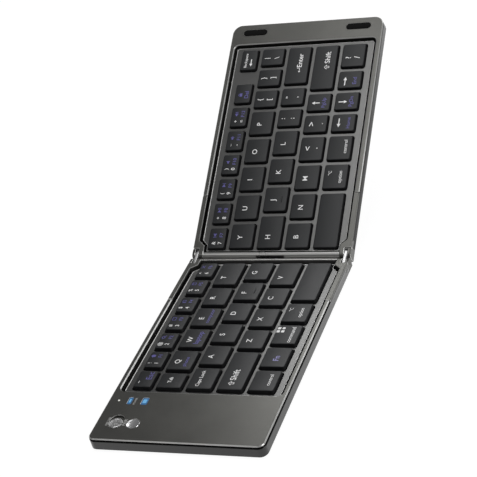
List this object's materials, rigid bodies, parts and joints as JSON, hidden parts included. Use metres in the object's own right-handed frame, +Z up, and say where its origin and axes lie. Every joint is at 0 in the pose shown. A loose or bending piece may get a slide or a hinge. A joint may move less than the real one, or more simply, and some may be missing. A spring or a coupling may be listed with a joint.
{
  "type": "folding keyboard",
  "caption": "Slim keyboard in two halves joined by a two-pivot hinge: one half lies flat, the other is folded partly up. Keys travel, with a slide switch and a round button.",
  "frame": {"origin": "the middle of the part's plan, at the height of the surface that the left half's feet rest on", "axes": "+Z up; +X along the rows of keys, from the outer end of the half that lies flat toward the half that is folded up; +Y toward the back, where the number keys are"},
  "size_m": [0.2712, 0.0894, 0.0789],
  "materials": {
    "shell_plastic": "matte",
    "frame_metal": "satin",
    "plate_metal": "satin",
    "dome_rubber": "matte",
    "support_metal": "satin",
    "bracket_metal": "satin",
    "pin_steel": "satin",
    "feet_rubber": "matte",
    "screw_steel": "satin",
    "magnet_steel": "satin",
    "bumper_rubber": "matte",
    "link_steel": "satin",
    "ribbon_plastic": "satin",
    "battery_foil": "satin",
    "board_plastic": "satin",
    "port_steel": "satin",
    "switch_metal": "polished",
    "button_chrome": "polished",
    "light_plastic": "gloss",
    "key_plastic": "satin"
  },
  "bodies": {
    "left_half": {"left_bottom_shell": "shell_plastic", "left_top_frame": "frame_metal", "left_key_plate": "plate_metal", "left_dome_sheet": "dome_rubber", "left_support_plate": "support_metal", "left_hinge_brackets": "bracket_metal", "left_hinge_pins": "pin_steel", "left_feet": "feet_rubber", "left_screws": "screw_steel", "left_magnets": "magnet_steel", "battery": "battery_foil", "main_board": "board_plastic", "usb_port": "port_steel", "status_lights": "light_plastic"},
    "hinge_link_pair": {"hinge_links": "link_steel", "flex_ribbon": "ribbon_plastic"},
    "right_half": {"right_bottom_shell": "shell_plastic", "right_top_frame": "frame_metal", "right_key_plate": "plate_metal", "right_dome_sheet": "dome_rubber", "right_support_plate": "support_metal", "right_hinge_brackets": "bracket_metal", "right_hinge_pins": "pin_steel", "right_feet": "feet_rubber", "right_screws": "screw_steel", "right_magnets": "magnet_steel", "closing_bumpers": "bumper_rubber"},
    "power_switch": {"power_switch": "switch_metal"},
    "connect_button": {"connect_button": "button_chrome"},
    "key_q": {"key_q": "key_plastic"},
    "key_w": {"key_w": "key_plastic"},
    "key_e": {"key_e": "key_plastic"},
    "key_r": {"key_r": "key_plastic"},
    "key_t": {"key_t": "key_plastic"},
    "key_a": {"key_a": "key_plastic"},
    "key_s": {"key_s": "key_plastic"},
    "key_d": {"key_d": "key_plastic"},
    "key_f": {"key_f": "key_plastic"},
    "key_g": {"key_g": "key_plastic"},
    "key_z": {"key_z": "key_plastic"},
    "key_x": {"key_x": "key_plastic"},
    "key_c": {"key_c": "key_plastic"},
    "key_v": {"key_v": "key_plastic"},
    "left_space_key": {"left_space_key": "key_plastic"},
    "left_side_keys": {"left_side_keys": "key_plastic"},
    "key_y": {"key_y": "key_plastic"},
    "key_u": {"key_u": "key_plastic"},
    "key_i": {"key_i": "key_plastic"},
    "key_o": {"key_o": "key_plastic"},
    "key_p": {"key_p": "key_plastic"},
    "key_h": {"key_h": "key_plastic"},
    "key_j": {"key_j": "key_plastic"},
    "key_k": {"key_k": "key_plastic"},
    "key_l": {"key_l": "key_plastic"},
    "key_b": {"key_b": "key_plastic"},
    "key_n": {"key_n": "key_plastic"},
    "key_m": {"key_m": "key_plastic"},
    "right_space_key": {"right_space_key": "key_plastic"},
    "enter_key": {"enter_key": "key_plastic"},
    "right_side_keys": {"right_side_keys": "key_plastic"}
  },
  "joints": [
    {"name": "link_fold", "type": "hinge", "parent": "left_half", "child": "hinge_link_pair", "pos_m": [0.0058, 0, 0.0044], "axis": [0, -1, 0], "range_deg": [-15, 75], "deforming": ["flex_ribbon"]},
    {"name": "half_fold", "type": "hinge", "parent": "hinge_link_pair", "child": "right_half", "pos_m": [0.01159, 0, 0.00595], "axis": [0, -1, 0], "range_deg": [-15, 75], "deforming": ["flex_ribbon"]},
    {"name": "power_switch_slide", "type": "slide", "parent": "left_half", "child": "power_switch", "axis": [1, 0, 0], "range_m": [0, 0.002]},
    {"name": "connect_button_press", "type": "slide", "parent": "left_half", "child": "connect_button", "axis": [0, 0, -1], "range_m": [0, 0.0003], "stiffness_N_per_m": 400, "springref_m": -0.002},
    {"name": "key_q_press", "type": "slide", "parent": "left_half", "child": "key_q", "axis": [0, 0, -1], "range_m": [0, 0.0014], "stiffness_N_per_m": 100, "springref_m": -0.004, "deforming": ["left_dome_sheet"]},
    {"name": "key_w_press", "type": "slide", "parent": "left_half", "child": "key_w", "axis": [0, 0, -1], "range_m": [0, 0.0014], "stiffness_N_per_m": 100, "springref_m": -0.004, "deforming": ["left_dome_sheet"]},
    {"name": "key_e_press", "type": "slide", "parent": "left_half", "child": "key_e", "axis": [0, 0, -1], "range_m": [0, 0.0014], "stiffness_N_per_m": 100, "springref_m": -0.004, "deforming": ["left_dome_sheet"]},
    {"name": "key_r_press", "type": "slide", "parent": "left_half", "child": "key_r", "axis": [0, 0, -1], "range_m": [0, 0.0014], "stiffness_N_per_m": 100, "springref_m": -0.004, "deforming": ["left_dome_sheet"]},
    {"name": "key_t_press", "type": "slide", "parent": "left_half", "child": "key_t", "axis": [0, 0, -1], "range_m": [0, 0.0014], "stiffness_N_per_m": 100, "springref_m": -0.004, "deforming": ["left_dome_sheet"]},
    {"name": "key_a_press", "type": "slide", "parent": "left_half", "child": "key_a", "axis": [0, 0, -1], "range_m": [0, 0.0014], "stiffness_N_per_m": 100, "springref_m": -0.004, "deforming": ["left_dome_sheet"]},
    {"name": "key_s_press", "type": "slide", "parent": "left_half", "child": "key_s", "axis": [0, 0, -1], "range_m": [0, 0.0014], "stiffness_N_per_m": 100, "springref_m": -0.004, "deforming": ["left_dome_sheet"]},
    {"name": "key_d_press", "type": "slide", "parent": "left_half", "child": "key_d", "axis": [0, 0, -1], "range_m": [0, 0.0014], "stiffness_N_per_m": 100, "springref_m": -0.004, "deforming": ["left_dome_sheet"]},
    {"name": "key_f_press", "type": "slide", "parent": "left_half", "child": "key_f", "axis": [0, 0, -1], "range_m": [0, 0.0014], "stiffness_N_per_m": 100, "springref_m": -0.004, "deforming": ["left_dome_sheet"]},
    {"name": "key_g_press", "type": "slide", "parent": "left_half", "child": "key_g", "axis": [0, 0, -1], "range_m": [0, 0.0014], "stiffness_N_per_m": 100, "springref_m": -0.004, "deforming": ["left_dome_sheet"]},
    {"name": "key_z_press", "type": "slide", "parent": "left_half", "child": "key_z", "axis": [0, 0, -1], "range_m": [0, 0.0014], "stiffness_N_per_m": 100, "springref_m": -0.004, "deforming": ["left_dome_sheet"]},
    {"name": "key_x_press", "type": "slide", "parent": "left_half", "child": "key_x", "axis": [0, 0, -1], "range_m": [0, 0.0014], "stiffness_N_per_m": 100, "springref_m": -0.004, "deforming": ["left_dome_sheet"]},
    {"name": "key_c_press", "type": "slide", "parent": "left_half", "child": "key_c", "axis": [0, 0, -1], "range_m": [0, 0.0014], "stiffness_N_per_m": 100, "springref_m": -0.004, "deforming": ["left_dome_sheet"]},
    {"name": "key_v_press", "type": "slide", "parent": "left_half", "child": "key_v", "axis": [0, 0, -1], "range_m": [0, 0.0014], "stiffness_N_per_m": 100, "springref_m": -0.004, "deforming": ["left_dome_sheet"]},
    {"name": "left_space_key_press", "type": "slide", "parent": "left_half", "child": "left_space_key", "axis": [0, 0, -1], "range_m": [0, 0.0014], "stiffness_N_per_m": 200, "springref_m": -0.004, "deforming": ["left_dome_sheet"]},
    {"name": "left_side_keys_press", "type": "slide", "parent": "left_half", "child": "left_side_keys", "axis": [0, 0, -1], "range_m": [0, 0.0014], "stiffness_N_per_m": 1400, "springref_m": -0.004, "deforming": ["left_dome_sheet"]},
    {"name": "key_y_press", "type": "slide", "parent": "right_half", "child": "key_y", "axis": [0.5, 0, -0.866], "range_m": [0, 0.0014], "stiffness_N_per_m": 100, "springref_m": -0.004, "deforming": ["right_dome_sheet"]},
    {"name": "key_u_press", "type": "slide", "parent": "right_half", "child": "key_u", "axis": [0.5, 0, -0.866], "range_m": [0, 0.0014], "stiffness_N_per_m": 100, "springref_m": -0.004, "deforming": ["right_dome_sheet"]},
    {"name": "key_i_press", "type": "slide", "parent": "right_half", "child": "key_i", "axis": [0.5, 0, -0.866], "range_m": [0, 0.0014], "stiffness_N_per_m": 100, "springref_m": -0.004, "deforming": ["right_dome_sheet"]},
    {"name": "key_o_press", "type": "slide", "parent": "right_half", "child": "key_o", "axis": [0.5, 0, -0.866], "range_m": [0, 0.0014], "stiffness_N_per_m": 100, "springref_m": -0.004, "deforming": ["right_dome_sheet"]},
    {"name": "key_p_press", "type": "slide", "parent": "right_half", "child": "key_p", "axis": [0.5, 0, -0.866], "range_m": [0, 0.0014], "stiffness_N_per_m": 100, "springref_m": -0.004, "deforming": ["right_dome_sheet"]},
    {"name": "key_h_press", "type": "slide", "parent": "right_half", "child": "key_h", "axis": [0.5, 0, -0.866], "range_m": [0, 0.0014], "stiffness_N_per_m": 100, "springref_m": -0.004, "deforming": ["right_dome_sheet"]},
    {"name": "key_j_press", "type": "slide", "parent": "right_half", "child": "key_j", "axis": [0.5, 0, -0.866], "range_m": [0, 0.0014], "stiffness_N_per_m": 100, "springref_m": -0.004, "deforming": ["right_dome_sheet"]},
    {"name": "key_k_press", "type": "slide", "parent": "right_half", "child": "key_k", "axis": [0.5, 0, -0.866], "range_m": [0, 0.0014], "stiffness_N_per_m": 100, "springref_m": -0.004, "deforming": ["right_dome_sheet"]},
    {"name": "key_l_press", "type": "slide", "parent": "right_half", "child": "key_l", "axis": [0.5, 0, -0.866], "range_m": [0, 0.0014], "stiffness_N_per_m": 100, "springref_m": -0.004, "deforming": ["right_dome_sheet"]},
    {"name": "key_b_press", "type": "slide", "parent": "right_half", "child": "key_b", "axis": [0.5, 0, -0.866], "range_m": [0, 0.0014], "stiffness_N_per_m": 100, "springref_m": -0.004, "deforming": ["right_dome_sheet"]},
    {"name": "key_n_press", "type": "slide", "parent": "right_half", "child": "key_n", "axis": [0.5, 0, -0.866], "range_m": [0, 0.0014], "stiffness_N_per_m": 100, "springref_m": -0.004, "deforming": ["right_dome_sheet"]},
    {"name": "key_m_press", "type": "slide", "parent": "right_half", "child": "key_m", "axis": [0.5, 0, -0.866], "range_m": [0, 0.0014], "stiffness_N_per_m": 100, "springref_m": -0.004, "deforming": ["right_dome_sheet"]},
    {"name": "right_space_key_press", "type": "slide", "parent": "right_half", "child": "right_space_key", "axis": [0.5, 0, -0.866], "range_m": [0, 0.0014], "stiffness_N_per_m": 200, "springref_m": -0.004, "deforming": ["right_dome_sheet"]},
    {"name": "enter_key_press", "type": "slide", "parent": "right_half", "child": "enter_key", "axis": [0.5, 0, -0.866], "range_m": [0, 0.0014], "stiffness_N_per_m": 150, "springref_m": -0.004, "deforming": ["right_dome_sheet"]},
    {"name": "right_side_keys_press", "type": "slide", "parent": "right_half", "child": "right_side_keys", "axis": [0.5, 0, -0.866], "range_m": [0, 0.0014], "stiffness_N_per_m": 2300, "springref_m": -0.004, "deforming": ["right_dome_sheet"]}
  ],
  "couplings": [
    {"joint": "half_fold", "follows": "link_fold", "ratio": 1}
  ]
}
